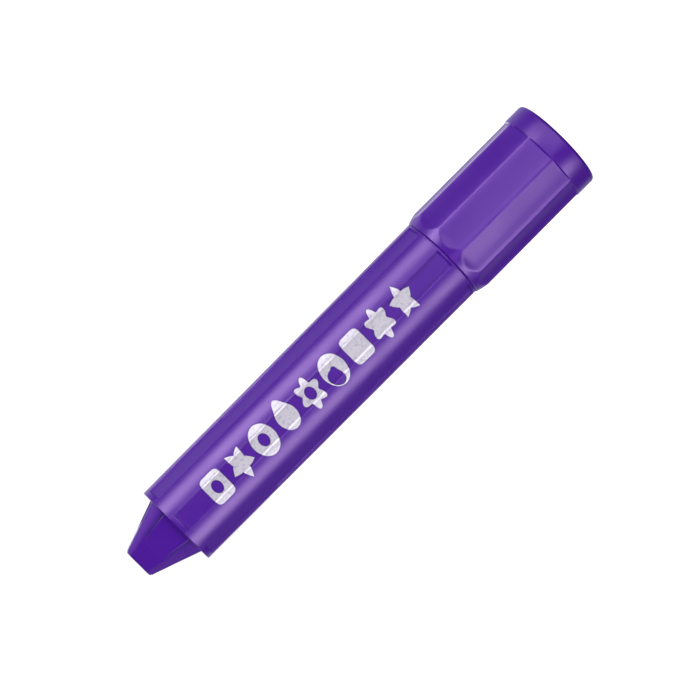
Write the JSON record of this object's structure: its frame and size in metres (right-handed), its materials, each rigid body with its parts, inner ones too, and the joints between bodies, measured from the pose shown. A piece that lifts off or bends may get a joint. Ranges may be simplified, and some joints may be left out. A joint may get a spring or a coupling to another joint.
{
  "type": "twist-up crayon",
  "caption": "Chunky capped twist-up crayon: panelled round barrel, ten-sided push-on cap, four-sided twist knob, threaded feed and a solid colour stick inside.",
  "frame": {"origin": "centre of the flat closed end of the cap, on which the object stands", "axes": "+Z along the object's axis from the cap to the twist knob; the foil-marked face looks along -Y; +X completes the right-handed frame"},
  "size_m": [0.0176, 0.0176, 0.1009],
  "materials": {
    "violet_plastic": "glossy injection-moulded plastic, coloured through",
    "natural_plastic": "satin natural polypropylene",
    "violet_wax": "smooth waxy colour stick with a soft sheen",
    "ring_rubber": "matte black nitrile rubber",
    "liner_plastic": "soft translucent polyethylene",
    "silver_foil": "hot-stamped silver foil"
  },
  "bodies": {
    "cap": {"cap": "violet_plastic", "cap_liner": "liner_plastic"},
    "barrel": {"barrel": "violet_plastic", "inner_sleeve": "natural_plastic"},
    "knob": {"twist_knob": "violet_plastic", "feed_screw": "natural_plastic", "drag_ring": "ring_rubber"},
    "carrier": {"carrier": "natural_plastic", "crayon_stick": "violet_wax"}
  },
  "joints": [
    {"name": "knob_turn", "type": "hinge", "parent": "barrel", "child": "knob", "pos_m": [0, 0, 0.0919], "axis": [0, 0, -1], "range_deg": [0, 720.1]},
    {"name": "stick_feed", "type": "slide", "parent": "barrel", "child": "carrier", "axis": [0, 0, -1], "range_m": [0, 0.012]},
    {"name": "cap_pull", "type": "slide", "parent": "cap", "child": "barrel", "axis": [0, 0, 1], "range_m": [0, 0.045]}
  ],
  "couplings": [
    {"joint": "knob_turn", "follows": "stick_feed", "rad_per_m": 1047.2}
  ]
}
